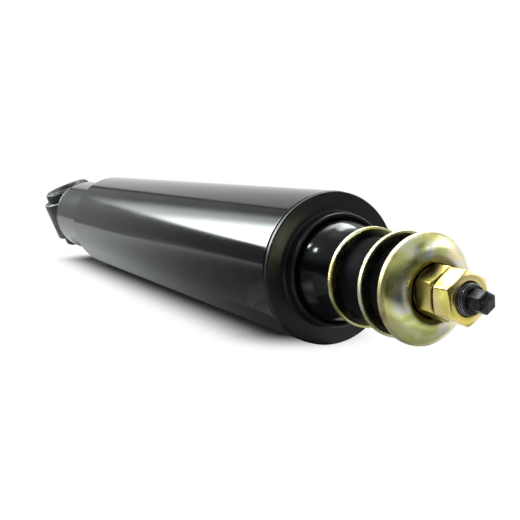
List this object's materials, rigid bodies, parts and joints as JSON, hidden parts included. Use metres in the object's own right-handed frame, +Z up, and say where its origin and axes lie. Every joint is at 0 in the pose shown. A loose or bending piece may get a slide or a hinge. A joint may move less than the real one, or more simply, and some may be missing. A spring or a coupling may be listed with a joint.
{
  "type": "truck shock absorber",
  "caption": "Telescopic truck shock absorber with a rubber-bushed eye, a gloss black dust cover and a threaded stem mount of cup washers, rubber cushions and hexagon nuts.",
  "frame": {"origin": "centre of the bore of the eye's rubber bush", "axes": "+X along the rod axis, from the eye towards the threaded stem; +Z up as it lies on its dust cover; the eye's axis leans 22 degrees from +Z towards -Y"},
  "size_m": [0.6505, 0.084, 0.084],
  "materials": {
    "gloss_black_paint": "gloss black paint",
    "cylinder_paint": "gloss black paint",
    "eye_paint": "satin black paint over a forged skin",
    "black_rubber": "matte moulded rubber",
    "seal_rubber": "smooth sealing rubber",
    "bumper_elastomer": "smooth elastomer",
    "yellow_zinc": "yellow passivated zinc plating with a faint iridescence",
    "rod_steel": "hard chrome on the rod, black oxide on the threaded stem",
    "valve_steel": "bright steel",
    "sintered_iron": "grey sintered iron",
    "guide_bronze": "bronze-backed bearing",
    "band_plastic": "filled plastic bearing band"
  },
  "bodies": {
    "cylinder": {"eye_ring": "eye_paint", "eye_bush": "black_rubber", "base_cap": "cylinder_paint", "reservoir_tube": "cylinder_paint", "pressure_tube": "valve_steel", "base_valve_body": "sintered_iron", "base_valve_pin": "valve_steel", "base_valve_nut": "valve_steel", "compression_disc_1": "valve_steel", "compression_disc_2": "valve_steel", "compression_disc_3": "valve_steel", "intake_spring": "valve_steel", "rod_guide": "sintered_iron", "guide_bush": "guide_bronze", "rod_seal": "seal_rubber", "guide_ring_seal": "seal_rubber", "gland_nut": "valve_steel"},
    "intake_valve": {"intake_plate": "valve_steel"},
    "piston_ring": {"piston_band": "band_plastic"},
    "rod": {"piston_rod": "rod_steel", "piston": "sintered_iron", "rebound_disc_1": "valve_steel", "rebound_disc_2": "valve_steel", "rebound_disc_3": "valve_steel", "piston_nut": "valve_steel", "check_spring": "valve_steel", "backing_plate": "valve_steel", "rebound_bumper": "bumper_elastomer", "dome_cup": "gloss_black_paint", "cover_end_plate": "gloss_black_paint", "dust_cover": "gloss_black_paint", "lower_cup_washer": "yellow_zinc", "lower_cushion": "black_rubber", "middle_cup_washer": "yellow_zinc", "upper_cushion": "black_rubber", "top_cup_washer": "yellow_zinc", "mounting_nut": "yellow_zinc", "lock_nut": "yellow_zinc"},
    "check_valve": {"check_plate": "valve_steel"}
  },
  "joints": [
    {"name": "stroke", "type": "slide", "parent": "cylinder", "child": "piston_ring", "axis": [1, 0, 0], "range_m": [-0.068, 0.18]},
    {"name": "rod_spin", "type": "hinge", "parent": "piston_ring", "child": "rod", "pos_m": [0.1878, 0, 0], "axis": [1, 0, 0], "continuous": true},
    {"name": "intake_lift", "type": "slide", "parent": "cylinder", "child": "intake_valve", "axis": [1, 0, 0], "range_m": [0, 0.0012], "stiffness_N_per_m": 1500, "springref_m": -0.001},
    {"name": "check_lift", "type": "slide", "parent": "rod", "child": "check_valve", "axis": [1, 0, 0], "range_m": [0, 0.0012], "stiffness_N_per_m": 1500, "springref_m": -0.001}
  ]
}
